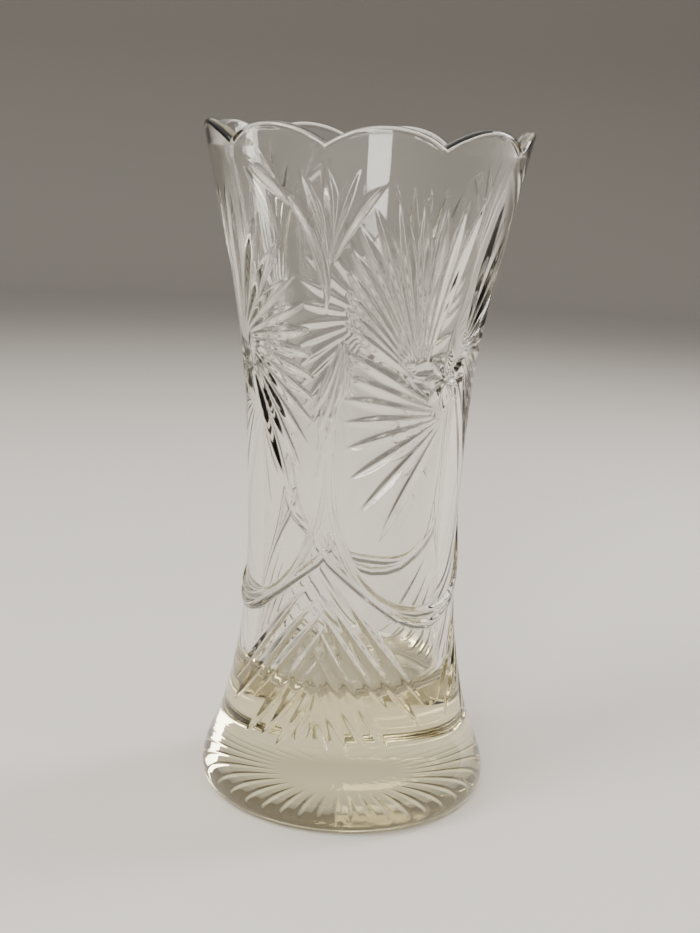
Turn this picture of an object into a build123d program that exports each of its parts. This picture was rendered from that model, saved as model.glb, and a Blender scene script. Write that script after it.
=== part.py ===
"""Pressed and cut crystal vase: one piece of clear glass.

A waisted round body on a thick solid foot, open at a rim of nine arches.  The
pattern of wheel cuts repeats three times round the body: a panel with three
sprays of leaf cuts, and a fan of cuts below the divider between two panels.  A
star of cuts fills the underside of the foot.  No cut touches another.  The base
stands on z = 0 and the vase's axis is the Z axis.  Lengths are in millimetres and
angles in degrees.
"""
from build123d import *
import math
import os

# Body
HEIGHT = 200.0
RIM_WALL = 4.0                 # glass thickness at the rim
WAIST_WALL = 5.0               # glass thickness where the wall meets the floor
FLOOR_Z = 36.0                 # top of the solid foot, inside
FLOOR_RADIUS = 7.0             # rounding between the inner wall and the floor
FOOT_FLAT_R = 39.6             # outer edge of the ring the vase rests on
FOOT_EDGE = (42.5, 2.2)        # a point on the rounded edge under the widest ring
# Outer radius at each height, from the foot's widest ring up to the rim
OUTER = [(43.6, 6.0), (39.4, 20.0), (34.3, 40.0), (31.5, 70.0), (32.1, 100.0),
         (35.5, 140.0), (43.4, 180.0), (47.7, HEIGHT)]
FOOT_SLOPE = (0, 0, 1)         # direction of the outer wall at the widest ring
RIM_SLOPE = (0.22, 0, 1)       # and at the rim

# Rim
SCALLOPS = 9
SCALLOP_DEPTH = 5.0            # height of an arch's crown above the valley beside it

# Pattern of cuts.  A place on the wall is (degrees round from a divider, height)
SECTORS = 3
SECTOR_DEG = 360 / SECTORS
FIRST_DIVIDER = -14.0          # the first divider, from the front (-Y), towards +X
V_HALF_ANGLE = 52.0            # half the angle of the V that the wheel leaves
CUT_DEPTH = 0.8

# Panel: sprays of leaf cuts fan out from three points round its middle
PANEL = (60.0, 131.0)          # middle of the panel
PANEL_REACH = (53.0, 51.0)     # half width in degrees, half height in millimetres
MM_PER_DEG = 0.6               # arc length of a degree on the waist
SPRAYS = [                     # focus, first and last direction, cuts, squareness
    ((68.0, 137.0), -55.0, 71.0, 12, 2.2),
    ((44.0, 131.0), 86.0, 157.0, 11, 3.4),
    ((62.0, 120.0), 166.0, 247.0, 8, 2.4),
]
SPRAY_START = 0.5              # a spray's cuts start this far along from focus to tip

# Fan below each divider: lines running down to the right, mirrored to the left
FAN_LINES = [
    ((6.0, 73.0), (56.0, 35.0)),
    ((0.0, 68.0), (49.0, 29.0)),
    ((-4.0, 62.0), (36.0, 24.0)),
    ((-6.0, 55.0), (24.0, 25.0)),
    ((-6.0, 47.0), (17.0, 22.0)),
    ((-3.0, 40.0), (8.0, 24.0)),
]
FAN_START = 0.55               # a cut starts this far down its line

# Star under the foot
STAR_RAYS = 32
STAR_R = 36.0
STAR_HUB_R = 10.0              # plain disc in the middle of the star
STAR_DEPTH = 1.1


def outer_side():
    """The outer wall's outline in the XZ plane, from the widest ring to the rim."""
    points = [Vector(r, 0, z) for r, z in OUTER]
    return Spline(points, tangents=[FOOT_SLOPE, RIM_SLOPE])


def wall_at(z):
    """Glass thickness at a height: thins evenly from the floor to the rim."""
    return WAIST_WALL + (RIM_WALL - WAIST_WALL) * (z - FLOOR_Z) / (HEIGHT - FLOOR_Z)


def blank():
    """The uncut vase, turned about the Z axis."""
    outer = outer_side()
    inner = [Vector(r - wall_at(z), 0, z) for r, z in reversed(OUTER) if z > FLOOR_Z]
    corner = Vector(inner[-1].X, 0, FLOOR_Z)
    inner_side = Spline(inner + [corner])
    floor = Line(corner, (0, 0, FLOOR_Z))
    foot_edge = ThreePointArc(
        (FOOT_FLAT_R, 0, 0), (FOOT_EDGE[0], 0, FOOT_EDGE[1]), outer @ 0)
    outline = Wire([
        outer,
        Line(outer @ 1, inner[0]),
        inner_side,
        floor,
        Line((0, 0, FLOOR_Z), (0, 0, 0)),
        Line((0, 0, 0), (FOOT_FLAT_R, 0, 0)),
        foot_edge,
    ])
    body = revolve(Face(outline), Axis.Z, 360)
    rim_floor = body.edges().filter_by(GeomType.CIRCLE).filter_by(
        lambda e: abs(e.center().Z - FLOOR_Z) < 0.01)
    return fillet(rim_floor, FLOOR_RADIUS)


def radius_at(z):
    """Outer radius of the wall at a height."""
    side = outer_side()
    low, high = 0.0, 1.0
    for _ in range(30):
        middle = (low + high) / 2
        if (side @ middle).Z < z:
            low = middle
        else:
            high = middle
    return (side @ low).X


def on_wall(deg, z):
    """The point of the outer wall at an angle from the first divider and a height."""
    turn = math.radians(FIRST_DIVIDER + deg)
    r = radius_at(z)
    return Vector(r * math.sin(turn), -r * math.cos(turn), z)


def wheel_cut(start, end, bottom, outward, depth):
    """A V cut whose bottom is the circle through start, bottom and end."""
    arc = ThreePointArc(start, bottom, end)
    centre = arc.arc_center
    along = arc % 0.5
    away = (bottom - centre).normalized()
    opens = away if away.dot(outward) > 0 else away * -1
    height = depth + 1.2
    half = height * math.tan(math.radians(V_HALF_ANGLE))
    plane = Plane(origin=bottom, x_dir=opens, z_dir=along)
    section = plane * Polygon((0, 0), (height, half), (height, -half), align=None)
    axis = Axis(centre, away.cross(along))
    spread = math.degrees(arc.length / arc.radius) + math.degrees(0.8 / arc.radius)
    return revolve(section.rotate(axis, -spread / 2), axis, spread)


def wall_cut(tip, root, depth):
    """A leaf-shaped V cut in the outer wall between two places on it."""
    start, end = on_wall(*tip), on_wall(*root)
    middle = on_wall((tip[0] + root[0]) / 2, (tip[1] + root[1]) / 2)
    outward = Vector(middle.X, middle.Y, 0).normalized()
    return wheel_cut(start, end, middle - outward * depth, outward, depth)


def part_way(start, end, share):
    """A place some way along from one place on the wall to another."""
    return [s + (e - s) * share for s, e in zip(start, end)]


def panel_tip(direction, squareness):
    """Where a spray's cut ends, in a direction from the middle of the panel."""
    across = math.cos(math.radians(direction)) / MM_PER_DEG
    up = math.sin(math.radians(direction))
    reach = (abs(across / PANEL_REACH[0]) ** squareness
             + abs(up / PANEL_REACH[1]) ** squareness) ** (-1 / squareness)
    return PANEL[0] + across * reach, PANEL[1] + up * reach


def panel_cuts():
    """The three sprays of one panel."""
    cuts = []
    for focus, first, last, count, squareness in SPRAYS:
        for i in range(count):
            tip = panel_tip(first + (last - first) * i / (count - 1), squareness)
            cuts.append(wall_cut(tip, part_way(focus, tip, SPRAY_START), CUT_DEPTH))
    return cuts


def fan_cuts():
    """The fan below one divider."""
    cuts = []
    for start, tip in FAN_LINES:
        root = part_way(start, tip, FAN_START)
        cuts.append(wall_cut(tip, root, CUT_DEPTH))
        cuts.append(wall_cut((-tip[0], tip[1]), (-root[0], root[1]), CUT_DEPTH))
    return cuts


def star_cuts():
    """The rays of the star under the foot."""
    middle = Vector((STAR_HUB_R + STAR_R) / 2, 0, STAR_DEPTH)
    ray = wheel_cut(Vector(STAR_HUB_R, 0, 0), Vector(STAR_R, 0, 0),
                    middle, Vector(0, 0, -1), STAR_DEPTH)
    return [ray.rotate(Axis.Z, 360 * i / STAR_RAYS) for i in range(STAR_RAYS)]


def rim_waste():
    """The glass above the rim's arches."""
    rim_r = OUTER[-1][0]
    half_chord = rim_r * math.sin(math.radians(180 / SCALLOPS))
    arch_r = (half_chord ** 2 + SCALLOP_DEPTH ** 2) / (2 * SCALLOP_DEPTH)
    waste = Pos(0, 0, HEIGHT) * Cylinder(rim_r + 5, 4 * SCALLOP_DEPTH)
    waste -= Cylinder(rim_r - 12, 4 * HEIGHT)
    arches = []
    for i in range(SCALLOPS):
        turn = FIRST_DIVIDER + 360 * (i + 0.5) / SCALLOPS
        arch = Pos(0, -rim_r, HEIGHT - arch_r) * Rot(90, 0, 0) * Cylinder(arch_r, 30)
        arches.append(Rot(0, 0, turn) * arch)
    return waste - arches


def vase():
    """The finished vase."""
    one_sector = panel_cuts() + fan_cuts()
    cuts = [Rot(0, 0, SECTOR_DEG * k) * cut for k in range(SECTORS) for cut in one_sector]
    return blank() - rim_waste() - cuts - star_cuts()


os.makedirs("parts", exist_ok=True)
export_step(vase(), "parts/vase_body.step")
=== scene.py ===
"""Cut crystal vase: the clear glass body with its wheel cuts, on a pale studio floor."""

import math

import bpy
import numpy as np
from mathutils import Matrix, Vector


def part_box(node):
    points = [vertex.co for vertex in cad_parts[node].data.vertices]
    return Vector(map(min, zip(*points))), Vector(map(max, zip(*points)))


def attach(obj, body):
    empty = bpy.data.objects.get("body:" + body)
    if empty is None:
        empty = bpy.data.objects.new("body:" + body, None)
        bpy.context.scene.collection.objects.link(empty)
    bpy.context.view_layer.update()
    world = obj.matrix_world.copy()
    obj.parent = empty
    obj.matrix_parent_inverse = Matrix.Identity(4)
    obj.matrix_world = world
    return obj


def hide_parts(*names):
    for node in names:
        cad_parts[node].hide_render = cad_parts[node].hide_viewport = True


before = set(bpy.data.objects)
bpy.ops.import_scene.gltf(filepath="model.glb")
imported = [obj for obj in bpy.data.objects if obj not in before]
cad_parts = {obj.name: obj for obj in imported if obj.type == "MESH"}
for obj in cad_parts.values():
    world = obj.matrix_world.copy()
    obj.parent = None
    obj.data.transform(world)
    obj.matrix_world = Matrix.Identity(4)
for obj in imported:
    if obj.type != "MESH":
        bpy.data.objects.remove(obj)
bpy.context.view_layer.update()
BODY = "root"
NODE = "vase_body"
MM = 0.001                      # the mesh is worked out in millimetres

# Body, as in the CAD part
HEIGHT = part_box(NODE)[1].z / MM
OUTER = [(43.6, 6.0), (39.4, 20.0), (34.3, 40.0), (31.5, 70.0), (32.1, 100.0),
         (35.5, 140.0), (43.4, 180.0), (47.7, HEIGHT)]
FOOT_SLOPE, RIM_SLOPE = 0.0, 0.22
FOOT_FLAT_R = 39.6
RIM_WALL, WAIST_WALL = 4.0, 5.0
FLOOR_Z, FLOOR_RADIUS = 36.0, 7.0
SCALLOPS, SCALLOP_DEPTH = 9, 5.0
BEVEL_Z, BEVEL_SLOPE = 193.4, 0.08     # inside, the rim thins above this height
FIRST_DIVIDER = -14.0
SECTORS = 3
SECTOR_DEG = 360 / SECTORS

# Mesh
COLUMNS = 720                   # round the vase; a multiple of three
WALL_ROWS = 430
CENTRE_R = 0.6                  # radius of the small fan of faces at the axis
SOFTEN = 0.06                   # polished rounding of every cut's edges
CLEAR_EDGE = 0.8                # width over which cuts fade at the edge of a cleared circle


def clamped_spline(points, first_slope, last_slope):
    """A smooth radius-of-height function through (radius, height) points."""
    r, z = np.array(points).T
    n, h = len(z), np.diff(z)
    a, b = np.zeros((n, n)), np.zeros(n)
    a[0, 0] = a[-1, -1] = 1
    b[0], b[-1] = first_slope, last_slope
    for i in range(1, n - 1):
        a[i, i - 1:i + 2] = 1 / h[i - 1], 2 / h[i - 1] + 2 / h[i], 1 / h[i]
        b[i] = 3 * ((r[i] - r[i - 1]) / h[i - 1] ** 2 + (r[i + 1] - r[i]) / h[i] ** 2)
    slope = np.linalg.solve(a, b)

    def radius(height):
        i = np.clip(np.searchsorted(z, height) - 1, 0, n - 2)
        t = (height - z[i]) / h[i]
        return ((1 + 2 * t) * (1 - t) ** 2 * r[i] + t * (1 - t) ** 2 * h[i] * slope[i]
                + t * t * (3 - 2 * t) * r[i + 1] + t * t * (t - 1) * h[i] * slope[i + 1])
    return radius


outer_radius = clamped_spline(OUTER, FOOT_SLOPE, RIM_SLOPE)


def wall_at(z):
    """Glass thickness at a height."""
    return WAIST_WALL + (RIM_WALL - WAIST_WALL) * (z - FLOOR_Z) / (HEIGHT - FLOOR_Z)


def rim_height(turn, radius):
    """Height of the rim's arches at an angle in degrees from the first divider."""
    rim_r = OUTER[-1][0]
    half_chord = rim_r * math.sin(math.pi / SCALLOPS)
    arch_r = (half_chord ** 2 + SCALLOP_DEPTH ** 2) / (2 * SCALLOP_DEPTH)
    pitch = 360 / SCALLOPS
    offset = np.radians((turn % pitch) - pitch / 2)
    return HEIGHT - arch_r + np.sqrt(arch_r ** 2 - (radius * np.sin(offset)) ** 2)


# Wheel cuts: places on the wall are (degrees from a divider, height)

class Wall:
    """One sector of the outer wall: how deep the glass is cut at each grid point."""

    def __init__(self, turn, z):
        self.turn, self.z = turn, z
        self.depth = np.zeros_like(z)

    def local(self, start, end):
        """Millimetres along and across the line from start to end, and its length."""
        middle = (np.array(start) + np.array(end)) / 2
        per_deg = math.radians(outer_radius(np.array([middle[1]]))[0])
        dx, dz = (end[0] - start[0]) * per_deg, end[1] - start[1]
        length = math.hypot(dx, dz)
        x = ((self.turn - middle[0] + SECTOR_DEG / 2) % SECTOR_DEG - SECTOR_DEG / 2)
        x, z = x * per_deg, self.z - middle[1]
        return (x * dx + z * dz) / length, (z * dx - x * dz) / length, length

    def clear(self, middle, radius):
        """Smooths away the cuts inside a circle."""
        along, across, _ = self.local((middle[0] - 1, middle[1]), (middle[0] + 1, middle[1]))
        self.depth = self.depth * np.clip((np.hypot(along, across) - radius) / CLEAR_EDGE + 1, 0, 1)

    def distance(self, line):
        """Distance from every grid point to a line of straight pieces."""
        nearest = np.full_like(self.z, 1e3)
        for start, end in zip(line, line[1:]):
            along, across, length = self.local(start, end)
            beyond = np.maximum(np.abs(along) - length / 2, 0)
            nearest = np.minimum(nearest, np.hypot(across, beyond))
        return nearest

    def leaf(self, start, end, depth, half_width, skew=1.0, bow=0.0):
        """A V cut that is deepest part way along and runs out to a point at both ends."""
        along, across, length = self.local(start, end)
        share = np.clip(along / length + 0.5, 0, 1)
        across = across - bow * 4 * share * (1 - share)
        peak = skew / (1 + skew)
        floor = depth * share ** skew * (1 - share) / (peak ** skew * (1 - peak))
        slope = depth / half_width
        beyond = np.maximum(np.abs(along) - length / 2, 0)
        level = floor - slope * np.hypot(across, SOFTEN) - slope * beyond
        self.depth = np.maximum(self.depth, (level + np.hypot(level, SOFTEN)) / 2)


# Panel: sprays of leaf cuts fan out from three points round the rosette
PANEL = (60.0, 131.0)
PANEL_REACH = (53.0, 51.0)
MM_PER_DEG = 0.6
SPRAYS = [                      # focus, first and last direction, cuts, squareness
    ((66.7, 140.0), -55.0, 80.0, 13, 2.3),
    ((44.0, 131.0), 89.0, 153.0, 12, 6.0),
    ((62.0, 121.0), 165.0, 247.0, 8, 3.1),
]
SPRAY_START = 0.06
RAY_DEPTH, RAY_HALF_WIDTH, RAY_SKEW = 1.15, 1.8, 1.4


def part_way(start, end, share):
    """A place some way along from one place on the wall to another."""
    return [s + (e - s) * share for s, e in zip(start, end)]


def panel_tip(direction, squareness):
    """Where a spray's cut ends, in a direction from the middle of the panel."""
    across = math.cos(math.radians(direction)) / MM_PER_DEG
    up = math.sin(math.radians(direction))
    reach = (abs(across / PANEL_REACH[0]) ** squareness
             + abs(up / PANEL_REACH[1]) ** squareness) ** (-1 / squareness)
    return PANEL[0] + across * reach, PANEL[1] + up * reach


def cut_sprays(wall):
    """The three sprays of one panel."""
    for focus, first, last, count, squareness in SPRAYS:
        for i in range(count):
            tip = panel_tip(first + (last - first) * i / (count - 1), squareness)
            root = part_way(focus, tip, SPRAY_START)
            wall.leaf(root, tip, RAY_DEPTH, RAY_HALF_WIDTH, RAY_SKEW)


ROSETTE_POINTS, ROSETTE_R = 8, 9.0
ROSETTE_DEPTH, ROSETTE_HALF_WIDTH, ROSETTE_SKEW = 1.3, 2.0, 0.9


def cut_rosette(wall):
    """Clears a round flat among the sprays, where eight leaves meet at the middle."""
    wall.clear(PANEL, ROSETTE_R)
    for i in range(ROSETTE_POINTS):
        turn = 2 * math.pi * i / ROSETTE_POINTS
        tip = (PANEL[0] + ROSETTE_R * math.cos(turn) / MM_PER_DEG,
               PANEL[1] + ROSETTE_R * math.sin(turn))
        wall.leaf(PANEL, tip, ROSETTE_DEPTH, ROSETTE_HALF_WIDTH, ROSETTE_SKEW)


SPRIG_LEAVES = [                # root, tip, depth, half width, bow
    ((-0.5, 150.0), (-17.0, 183.0), 1.2, 1.8, -3.6),
    ((-13.0, 178.0), (-31.0, 189.0), 1.1, 1.7, -0.6),
    ((-17.0, 182.0), (-25.0, 192.0), 0.7, 1.1, 0.0),
    ((0.0, 162.0), (-9.5, 188.0), 1.1, 1.7, -1.5),
    ((0.5, 163.0), (-0.5, 190.5), 1.3, 2.3, -1.4),
    ((1.5, 165.0), (11.5, 189.0), 1.1, 1.7, 1.0),
    ((2.0, 163.0), (21.0, 185.5), 1.2, 1.9, 1.6),
]
SPRIG_SKEW = 1.2
TASSEL_TOP = (6.5, 143.0)
TASSEL_TIPS = [(-8.0, 121.0), (-5.5, 115.0), (-6.0, 101.0), (1.0, 119.0), (4.0, 123.0),
               (8.0, 127.0)]
TASSEL_DEPTH, TASSEL_HALF_WIDTH, TASSEL_SKEW, TASSEL_BOW = 0.9, 1.3, 1.3, 1.2


def cut_divider(wall):
    """The sprig above the divider and the tassel beside it."""
    for root, tip, depth, half_width, bow in SPRIG_LEAVES:
        wall.leaf(root, tip, depth, half_width, SPRIG_SKEW, bow)
    for tip in TASSEL_TIPS:
        wall.leaf(TASSEL_TOP, tip, TASSEL_DEPTH, TASSEL_HALF_WIDTH, TASSEL_SKEW, TASSEL_BOW)


FAN_LINES = [                   # below the divider: start and tip of the cuts that lean right
    ((6.0, 73.0), (56.4, 35.0)),
    ((1.0, 69.0), (53.0, 29.0)),
    ((-2.0, 65.0), (36.0, 34.5)),
    ((-4.0, 61.0), (35.2, 23.5)),
    ((-6.0, 55.0), (25.1, 24.5)),
    ((-6.0, 48.0), (17.7, 21.5)),
    ((-4.0, 40.0), (8.2, 24.0)),
]
FAN_MIDDLE = ((0.0, 50.0), (-1.8, 24.0))
FAN_CUT = (1.0, 1.5, 1.3)       # depth, half width, skew


def cut_fan(wall):
    """The fan below the divider: its lines lean right, and mirrored ones lean left."""
    for start, tip in FAN_LINES:
        wall.leaf(start, tip, *FAN_CUT)
        wall.leaf((-start[0], start[1]), (-tip[0], tip[1]), *FAN_CUT)
    wall.leaf(*FAN_MIDDLE, *FAN_CUT)


GARLAND_CENTRE, GARLAND_REACH, GARLAND_SQUARENESS = (60.0, 110.0), (58.5, 47.2), 2.35
HANGING_LINE = [(-4.0, 86.0), (-2.5, 82.8), (3.8, 78.2), (13.8, 73.6), (26.0, 68.0), (39.7, 62.3),
                (50.0, 59.8), (60.0, 58.8)]
RIBBON_HEIGHT, RIBBON_HALF_WIDTH = 1.0, 1.35
RIBBON_FADE = (98.0, 120.0)     # the ribbons sink into the wall between these heights
SWAG_STEPS = 32
SWAG_RISE = 12.0                # the swag's ends run this far straight up


def raise_garland(wall):
    """Round ribbons hang from divider to divider: a swag, and a line with its mirror image."""
    power = 2 / GARLAND_SQUARENESS
    swag = []
    for i in range(SWAG_STEPS + 1):
        turn = math.pi * i / SWAG_STEPS
        out = math.copysign(abs(math.cos(turn)) ** power, math.cos(turn))
        down = math.sin(turn) ** power
        swag.append((GARLAND_CENTRE[0] - out * GARLAND_REACH[0],
                     GARLAND_CENTRE[1] - down * GARLAND_REACH[1]))
    first, last = swag[0], swag[-1]
    swag = [(first[0], first[1] + SWAG_RISE)] + swag + [(last[0], last[1] + SWAG_RISE)]
    mirrored = [(2 * GARLAND_CENTRE[0] - turn, z) for turn, z in HANGING_LINE]
    away = np.minimum.reduce([wall.distance(line) for line in (swag, HANGING_LINE, mirrored)])
    low, high = RIBBON_FADE
    fade = np.clip((high - wall.z) / (high - low), 0, 1)
    bead = RIBBON_HEIGHT * fade * np.clip(1 - (away / RIBBON_HALF_WIDTH) ** 2, 0, 1)
    wall.depth = np.where(away < RIBBON_HALF_WIDTH * fade, 0, wall.depth) - bead


def cut_wall(turn, z):
    """Cut depth over the whole wall, worked out for one sector and repeated."""
    columns = COLUMNS // SECTORS
    wall = Wall(turn[:, :columns], z[:, :columns])
    for cut in (cut_sprays, cut_rosette, cut_divider, cut_fan, raise_garland):
        cut(wall)
    return np.tile(wall.depth, (1, SECTORS))


# Mesh rows, from the middle of the underside out, up, over the rim and down inside

STAR_RAYS, STAR_R, STAR_DEPTH, STAR_HALF_WIDTH = 32, 38.0, 0.12, 1.2
STAR_HUB_R, STAR_SOFTEN = 10.0, 0.4
UNDERSIDE_HOLLOW, REST_RING_R, REST_RING_SLOPE = 0.15, 39.2, 0.6
POLISH_DEPTH = 0.12             # cuts deeper than this have the satin of the wheel


def underside(turn):
    """The foot's underside: slightly hollow inside its resting ring, with a soft star."""
    r = np.linspace(CENTRE_R, FOOT_FLAT_R, 70)[:, None] + 0 * turn
    hollow = UNDERSIDE_HOLLOW * np.clip((REST_RING_R - r) / REST_RING_SLOPE, 0, 1)
    step = 360 / STAR_RAYS
    across = r * np.radians((turn + step / 2) % step - step / 2)
    share = np.clip((r - STAR_HUB_R) / (STAR_R - STAR_HUB_R), 0, 1)
    level = (STAR_DEPTH * 4 * share * (1 - share)
             - STAR_DEPTH / STAR_HALF_WIDTH * np.hypot(across, STAR_SOFTEN))
    depth = np.maximum((level + np.hypot(level, SOFTEN)) / 2 - SOFTEN / 2, 0)
    return r, hollow + depth, depth


def foot_edge(turn):
    """The rounded edge between the underside and the widest ring."""
    t = np.linspace(0, math.pi / 2, 12)[1:-1, None] + 0 * turn
    widest_r, widest_z = OUTER[0]
    return FOOT_FLAT_R + (widest_r - FOOT_FLAT_R) * np.sin(t), widest_z * (1 - np.cos(t))


RIM_EDGE = 1.5                  # height of the rounding over the rim
RIM_POWER = 0.8                 # below 1 the rounding is squarish
FACET_GAP = 0.15            # rows stop this far either side of the facet's lower edge


def inner_radius(z):
    """Inner radius, with the facet that thins the rim."""
    return outer_radius(z) - wall_at(z) + BEVEL_SLOPE * np.maximum(z - BEVEL_Z, 0)


def outer_wall(turn):
    """Up the outside, with the cuts taken square to the wall."""
    share = np.linspace(0, 1, WALL_ROWS)[:, None] + 0 * turn
    bottom = OUTER[0][1]
    z = bottom + share * (rim_height(turn, OUTER[-1][0]) - RIM_EDGE - bottom)
    depth = cut_wall(turn + 0 * z, z)
    slope = (outer_radius(z + 0.1) - outer_radius(z - 0.1)) / 0.2
    steep = np.hypot(1, slope)
    return outer_radius(z) - depth / steep, z + depth * slope / steep, depth


def rim(turn):
    """The squarish rounding over the rim, from the outer wall to the inner one."""
    t = np.linspace(0, math.pi, 17)[1:-1, None] + 0 * turn
    top = rim_height(turn, OUTER[-1][0]) - RIM_EDGE
    outer, inner = outer_radius(top), inner_radius(top)
    middle, half = (outer + inner) / 2, (outer - inner) / 2
    over = np.sign(np.cos(t)) * np.abs(np.cos(t)) ** RIM_POWER
    return middle + half * over, top + RIM_EDGE * np.sin(t) ** RIM_POWER


def inner_wall(turn):
    """Down inside from the rim: the thinning facet, then the long plain wall."""
    top = rim_height(turn, OUTER[-1][0]) - RIM_EDGE
    facet = np.linspace(0, 1, 8)[:, None]
    facet_z = top + facet * (BEVEL_Z + FACET_GAP - top)
    plain = np.linspace(0, 1, 80)[:, None] + 0 * turn
    plain_z = BEVEL_Z - FACET_GAP + plain * (FLOOR_Z + FLOOR_RADIUS - BEVEL_Z + FACET_GAP)
    z = np.vstack([facet_z, plain_z])
    return inner_radius(z), z


def inner_floor(turn):
    """The rounded corner inside and the floor in to the middle."""
    corner_z = FLOOR_Z + FLOOR_RADIUS
    corner_r = (outer_radius(np.array([corner_z])) - wall_at(corner_z))[0] - FLOOR_RADIUS
    t = np.linspace(0, math.pi / 2, 12)[1:, None] + 0 * turn
    r, z = corner_r + FLOOR_RADIUS * np.cos(t), corner_z - FLOOR_RADIUS * np.sin(t)
    flat_r = np.linspace(corner_r, CENTRE_R, 14)[1:, None] + 0 * turn
    return np.vstack([r, flat_r]), np.vstack([z, 0 * flat_r + FLOOR_Z])


def lathe_mesh(name, rows, end_heights):
    """A closed mesh from rows of (radius, height) round the Z axis."""
    turn = np.linspace(0, 360, COLUMNS, endpoint=False)[None, :]
    parts = [row(turn) for row in rows]
    r = np.vstack([p[0] for p in parts])
    z = np.vstack([p[1] + 0 * p[0] for p in parts])
    angle = np.radians(turn + FIRST_DIVIDER)
    points = np.stack([r * np.sin(angle), -r * np.cos(angle), z], -1).reshape(-1, 3)
    points = np.vstack([points, [(0, 0, end_heights[0]), (0, 0, end_heights[1])]]) * MM
    n, m = r.shape
    low, high = n * m, n * m + 1
    grid = np.arange(n * m).reshape(n, m)
    ahead = np.roll(grid, -1, axis=1)
    quads = np.stack([grid[:-1], ahead[:-1], ahead[1:], grid[1:]], -1).reshape(-1, 4)
    faces = quads.tolist()
    faces += [[low, b, a] for a, b in zip(grid[0].tolist(), ahead[0].tolist())]
    faces += [[high, a, b] for a, b in zip(grid[-1].tolist(), ahead[-1].tolist())]
    mesh = bpy.data.meshes.new(name)
    mesh.from_pydata(points.tolist(), [], faces)
    mesh.update()
    mesh.shade_smooth()
    cut = np.vstack([p[2] if len(p) > 2 else 0 * p[0] for p in parts]).reshape(-1)
    share = np.clip(np.append(cut, [0, 0]) / POLISH_DEPTH, 0, 1)
    mesh.attributes.new("cut", "FLOAT", "POINT").data.foreach_set("value", share)
    return mesh


def crystal():
    """Clear polished crystal, warm through its thickness and satin in the cuts."""
    material = bpy.data.materials.new("crystal")
    material.use_nodes = True
    nodes, links = material.node_tree.nodes, material.node_tree.links
    glass = nodes["Principled BSDF"]
    glass.inputs["Base Color"].default_value = (0.98, 0.98, 0.965, 1)
    glass.inputs["Roughness"].default_value = 0.0
    glass.inputs["IOR"].default_value = 1.54
    glass.inputs["Transmission Weight"].default_value = 1.0
    cut = nodes.new("ShaderNodeAttribute")
    cut.attribute_name = "cut"
    satin = nodes.new("ShaderNodeMapRange")
    satin.inputs["To Max"].default_value = 0.12
    links.new(cut.outputs["Fac"], satin.inputs["Value"])
    links.new(satin.outputs["Result"], glass.inputs["Roughness"])
    absorb = nodes.new("ShaderNodeVolumeAbsorption")
    absorb.inputs["Color"].default_value = (0.97, 0.945, 0.83, 1)
    absorb.inputs["Density"].default_value = 42.0
    links.new(absorb.outputs["Volume"], nodes["Material Output"].inputs["Volume"])
    return material


def make_vase():
    """The one piece, riding on the part's only body."""
    mesh = lathe_mesh("vase", [underside, foot_edge, outer_wall, rim, inner_wall, inner_floor],
                      (UNDERSIDE_HOLLOW, FLOOR_Z))
    vase = bpy.data.objects.new("crystal_vase", mesh)
    bpy.context.scene.collection.objects.link(vase)
    mesh.materials.append(crystal())
    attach(vase, BODY)
    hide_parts(NODE)


# Studio

# Painted shade: the floor goes from pale near the vase to a dark grey far off, standing in for the
# light falling off.
FLOOR_COLOUR, FAR_PAINTED_SHADE_COLOUR = (0.64, 0.61, 0.57), (0.19, 0.178, 0.162)
PAINTED_FALLOFF_RANGE = (0.3, 1.2)         # metres from the vase between which the floor darkens: painted shade for the light's fall-off


def floor_paint_with_painted_falloff():
    """Pale paint that darkens to a quiet grey far from the vase: painted shade for the light's
    fall-off.
    """
    material = bpy.data.materials.new("floor_painted_falloff")
    material.use_nodes = True
    nodes, links = material.node_tree.nodes, material.node_tree.links
    nodes["Principled BSDF"].inputs["Roughness"].default_value = 0.8
    place = nodes.new("ShaderNodeTexCoord")
    length = nodes.new("ShaderNodeVectorMath")
    length.operation = "LENGTH"
    links.new(place.outputs["Object"], length.inputs[0])
    shade = nodes.new("ShaderNodeMapRange")
    shade.interpolation_type = "SMOOTHSTEP"
    shade.inputs["From Min"].default_value = PAINTED_FALLOFF_RANGE[0]
    shade.inputs["From Max"].default_value = PAINTED_FALLOFF_RANGE[1]
    links.new(length.outputs["Value"], shade.inputs["Value"])
    # Painted shade: the colour darkens with distance from the vase.
    mix = nodes.new("ShaderNodeMix")
    mix.data_type = "RGBA"
    mix.inputs["A"].default_value = (*FLOOR_COLOUR, 1)
    mix.inputs["B"].default_value = (*FAR_PAINTED_SHADE_COLOUR, 1)
    links.new(shade.outputs["Result"], mix.inputs["Factor"])
    links.new(mix.outputs["Result"], nodes["Principled BSDF"].inputs["Base Color"])
    return material


def make_floor():
    """A pale round floor, darkened far off with painted shade, that sweeps up into a low wall all
    round.
    """
    flat_r, curve_r, wall_top = 1.3, 0.3, 0.5
    curve_steps, sides = 16, 96
    profile = [(0.0, 0.0), (flat_r, 0.0)]
    for i in range(1, curve_steps + 1):
        t = math.pi / 2 * i / curve_steps
        profile.append((flat_r + curve_r * math.sin(t), curve_r * (1 - math.cos(t))))
    profile.append((flat_r + curve_r, wall_top))
    points = [(r * math.cos(2 * math.pi * k / sides), r * math.sin(2 * math.pi * k / sides), z)
              for r, z in profile for k in range(sides)]
    faces = [(i * sides + k, i * sides + (k + 1) % sides,
              (i + 1) * sides + (k + 1) % sides, (i + 1) * sides + k)
             for i in range(len(profile) - 1) for k in range(sides)]
    mesh = bpy.data.meshes.new("studio_floor")
    mesh.from_pydata(points, [], faces)
    mesh.shade_smooth()
    mesh.materials.append(floor_paint_with_painted_falloff())
    floor = bpy.data.objects.new("studio_floor", mesh)
    bpy.context.scene.collection.objects.link(floor)


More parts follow.
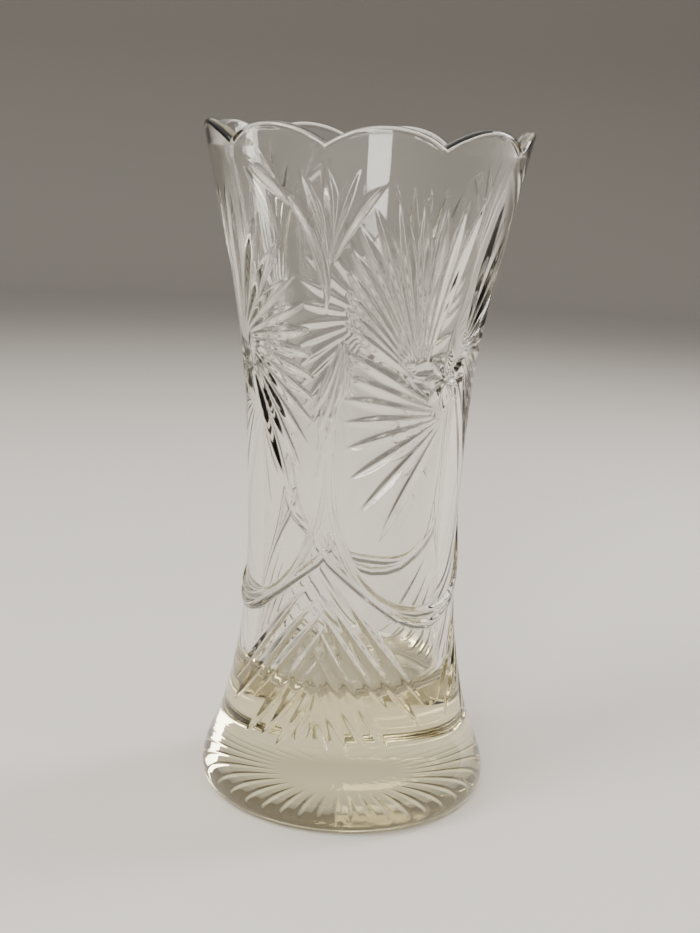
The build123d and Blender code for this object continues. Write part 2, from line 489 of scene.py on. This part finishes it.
def area_light(name, place, target, size, power, colour):
    """A soft rectangular lamp that the camera doesn't see."""
    light = bpy.data.lights.new(name, "AREA")
    light.shape, light.size, light.size_y = "RECTANGLE", size[0], size[1]
    light.energy, light.color = power, colour
    lamp = bpy.data.objects.new(name, light)
    lamp.location = place
    lamp.rotation_mode = "QUATERNION"
    lamp.rotation_quaternion = (Vector(place) - Vector(target)).to_track_quat("Z", "Y")
    lamp.visible_camera = False
    bpy.context.scene.collection.objects.link(lamp)


WORLD_DIM, WORLD_BRIGHT = 0.24, 1.0
WORLD_RISE = (0.25, 0.5)        # heights on the unit sphere between which it brightens


def make_world():
    """A room that is dim round the sides and bright overhead."""
    world = bpy.data.worlds.new("studio")
    world.use_nodes = True
    nodes, links = world.node_tree.nodes, world.node_tree.links
    place = nodes.new("ShaderNodeTexCoord")
    split = nodes.new("ShaderNodeSeparateXYZ")
    links.new(place.outputs["Generated"], split.inputs["Vector"])
    blend = nodes.new("ShaderNodeMapRange")
    blend.interpolation_type = "SMOOTHSTEP"
    blend.inputs["From Min"].default_value = WORLD_RISE[0]
    blend.inputs["From Max"].default_value = WORLD_RISE[1]
    blend.inputs["To Min"].default_value = WORLD_DIM
    blend.inputs["To Max"].default_value = WORLD_BRIGHT
    links.new(split.outputs["Z"], blend.inputs["Value"])
    links.new(blend.outputs["Result"], nodes["Background"].inputs["Strength"])
    nodes["Background"].inputs["Color"].default_value = (1.0, 0.97, 0.92, 1)
    bpy.context.scene.world = world


def make_lights():
    """Three soft lamps and the room."""
    middle = (0, 0, HEIGHT * MM / 2)
    area_light("key", (-0.8, -0.5, 1.1), middle, (0.6, 0.6), 13, (1.0, 0.96, 0.9))
    area_light("side", (0.85, 0.45, 0.6), middle, (0.3, 0.8), 9, (1.0, 0.97, 0.94))
    area_light("front", (-0.17, -1.0, 0.62), middle, (0.36, 0.3), 9, (1.0, 0.97, 0.93))
    make_world()


# Camera: level with the rim, looking down a little and rolled slightly
CAMERA_DISTANCE, CAMERA_HEIGHT = 2.2, 0.998      # in vase heights
CAMERA_PAN = math.radians(-0.185)
CAMERA_PITCH = math.radians(12.80)
CAMERA_ROLL = math.radians(2.51)
LENS, SENSOR = 57.95, 36.0


def make_camera():
    """The scene's camera, in front of the vase."""
    tall = HEIGHT * MM
    data = bpy.data.cameras.new("camera")
    data.lens, data.sensor_width = LENS, SENSOR
    camera = bpy.data.objects.new("camera", data)
    bpy.context.scene.collection.objects.link(camera)
    level = Vector((math.sin(CAMERA_PAN), math.cos(CAMERA_PAN), 0))
    right = Vector((math.cos(CAMERA_PAN), -math.sin(CAMERA_PAN), 0))
    up = level * math.sin(CAMERA_PITCH) + Vector((0, 0, math.cos(CAMERA_PITCH)))
    forward = level * math.cos(CAMERA_PITCH) - Vector((0, 0, math.sin(CAMERA_PITCH)))
    c, s = math.cos(CAMERA_ROLL), math.sin(CAMERA_ROLL)
    axes = Matrix([right * c + up * s, up * c - right * s, -forward]).transposed()
    place = Matrix.Translation((0, -CAMERA_DISTANCE * tall, CAMERA_HEIGHT * tall))
    camera.matrix_world = place @ axes.to_4x4()
    bpy.context.scene.camera = camera


make_camera()
make_floor()
make_lights()
make_vase()
